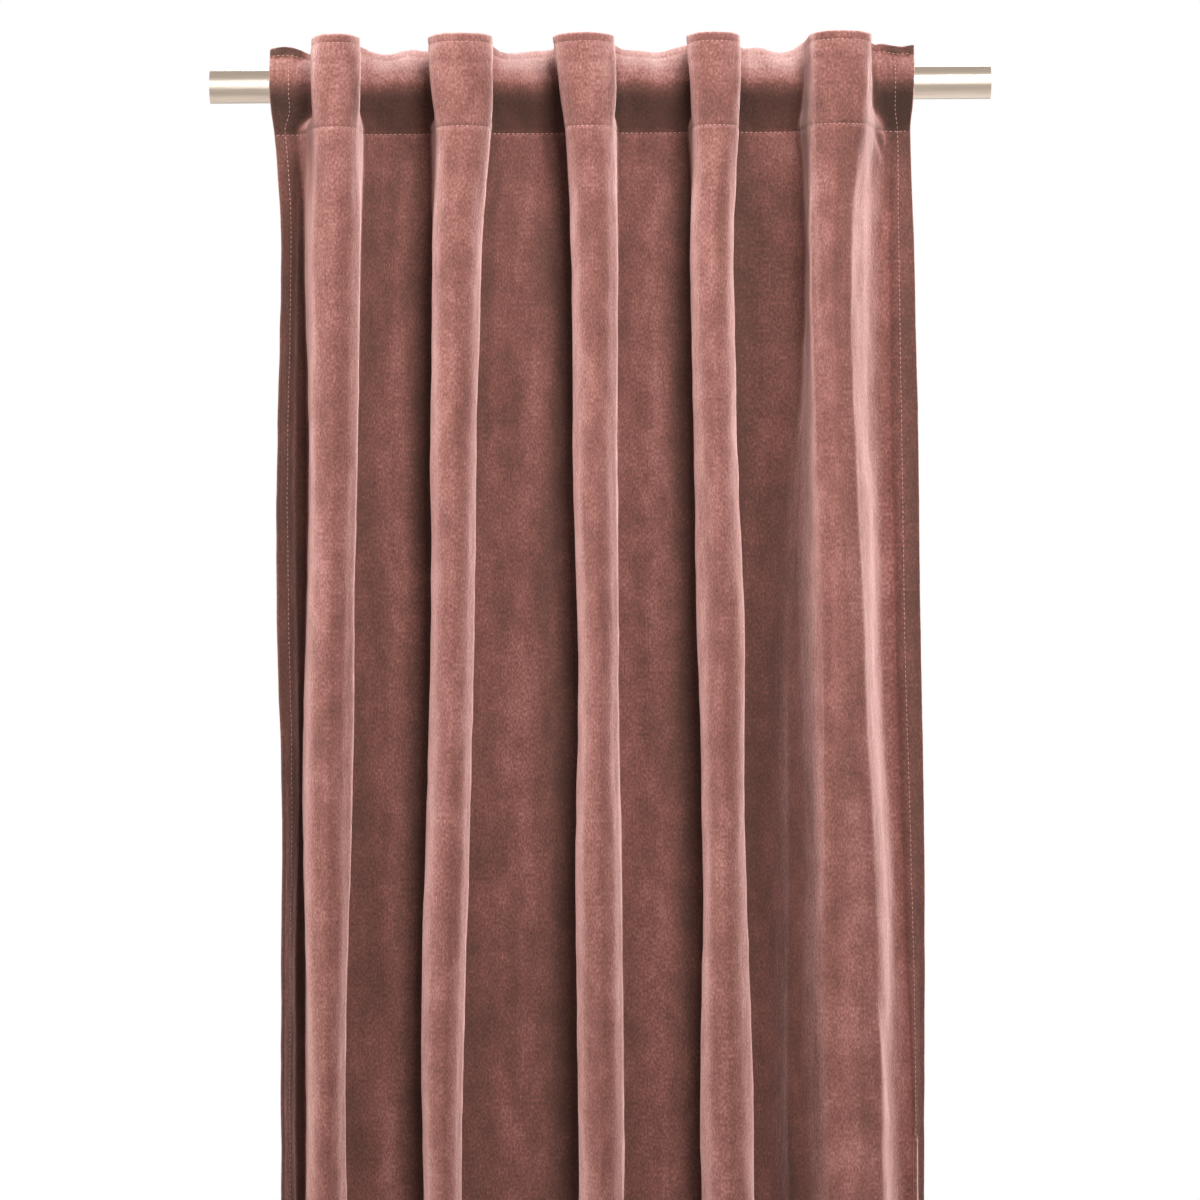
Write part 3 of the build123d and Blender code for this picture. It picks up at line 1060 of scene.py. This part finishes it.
def add_stage():
    """A plain pale floor."""
    material, tree, surface_shader = shader("pale_floor")
    texture = add_node(tree, "ShaderNodeTexNoise", Scale=3, Detail=2)
    stops = [(0.3, (0.86, 0.85, 0.84)), (0.7, (0.89, 0.88, 0.87))]
    colour = colour_ramp(tree, texture.outputs["Fac"], stops)
    tree.links.new(colour, surface_shader.inputs["Base Color"])
    surface_shader.inputs["Roughness"].default_value = 0.9
    height = BOTTOM * MM - FLOOR_GAP
    angles = [2 * math.pi * k / FLOOR_SIDES for k in range(FLOOR_SIDES)]
    rim = [(FLOOR_RADIUS * math.cos(a), FLOOR_RADIUS * math.sin(a), height) for a in angles]
    floor = new_object("floor", rim, [tuple(range(FLOOR_SIDES))])
    floor.data.materials.append(material)


def add_area_light(name, place, target, size, power, spread=180):
    """A soft box at a place, turned to a target; spread is its beam's width in degrees."""
    data = bpy.data.lights.new(name, "AREA")
    data.shape = "RECTANGLE"
    data.size = size[0]
    data.size_y = size[1]
    data.energy = power
    data.spread = math.radians(spread)
    light = bpy.data.objects.new(name, data)
    light.location = place
    light.rotation_euler = (Vector(target) - Vector(place)).to_track_quat("-Z", "Y").to_euler()
    light.visible_camera = False
    bpy.context.collection.objects.link(light)


def add_lights():
    """Soft boxes: a high key, a tall fill at the front, one at each side, and one behind."""
    middle = (0, 0, -0.5)
    add_area_light("key_softbox", (0.6, -2.9, 1.3), (0, 0, 0.1), (0.9, 1.5), 26, spread=70)
    add_area_light("front_softbox", (0, -5.0, 0.5), middle, (1.8, 4.2), 28)
    add_area_light("left_softbox", (-3.2, -1.3, 0.6), (0, 0, -0.2), (1.0, 2.0), 30, spread=80)
    add_area_light("right_softbox", (3.2, -1.3, 0.6), (0, 0, -0.2), (1.0, 2.0), 8, spread=80)
    add_area_light("back_softbox", (0.6, 4.2, 1.0), middle, (2.4, 2.4), 90)


def add_world():
    """A soft surround, bright above and dim below, plain white to the camera."""
    world = bpy.data.worlds.new("surround")
    bpy.context.scene.world = world
    world.use_nodes = True
    tree = world.node_tree
    place = tree.nodes.new("ShaderNodeTexCoord")
    height = tree.nodes.new("ShaderNodeSeparateXYZ")
    tree.links.new(place.outputs["Generated"], height.inputs["Vector"])
    share = add_node(tree, "ShaderNodeMapRange", From_Min=-0.4, From_Max=0.7)
    tree.links.new(height.outputs["Z"], share.inputs["Value"])
    soft = tree.nodes["Background"]
    dim_to_bright = [(0.0, (0.08, 0.067, 0.057)), (1.0, (0.46, 0.44, 0.41))]
    shade = colour_ramp(tree, share.outputs["Result"], dim_to_bright)
    tree.links.new(shade, soft.inputs["Color"])
    seen = add_node(tree, "ShaderNodeBackground", Strength=1.0)
    seen.inputs["Color"].default_value = (1, 1, 1, 1)
    path = tree.nodes.new("ShaderNodeLightPath")
    mix = tree.nodes.new("ShaderNodeMixShader")
    tree.links.new(path.outputs["Is Camera Ray"], mix.inputs["Fac"])
    tree.links.new(soft.outputs["Background"], mix.inputs[1])
    tree.links.new(seen.outputs["Background"], mix.inputs[2])
    tree.links.new(mix.outputs["Shader"], tree.nodes["World Output"].inputs["Surface"])


def add_camera():
    """A camera in front of the curtain's upper part, looking level and very slightly rolled."""
    data = bpy.data.cameras.new("camera")
    data.sensor_width = SENSOR
    data.lens = SENSOR * VIEW_DISTANCE / FRAME_HEIGHT
    camera = bpy.data.objects.new("camera", data)
    camera.location = (VIEW_SIDE, -VIEW_DISTANCE, VIEW_HEIGHT)
    camera.rotation_euler = (math.radians(90), math.radians(ROLL), 0)
    bpy.context.collection.objects.link(camera)
    bpy.context.scene.camera = camera


add_stage()
add_lights()
add_world()
add_camera()
bpy.context.scene.view_settings.view_transform = "Standard"
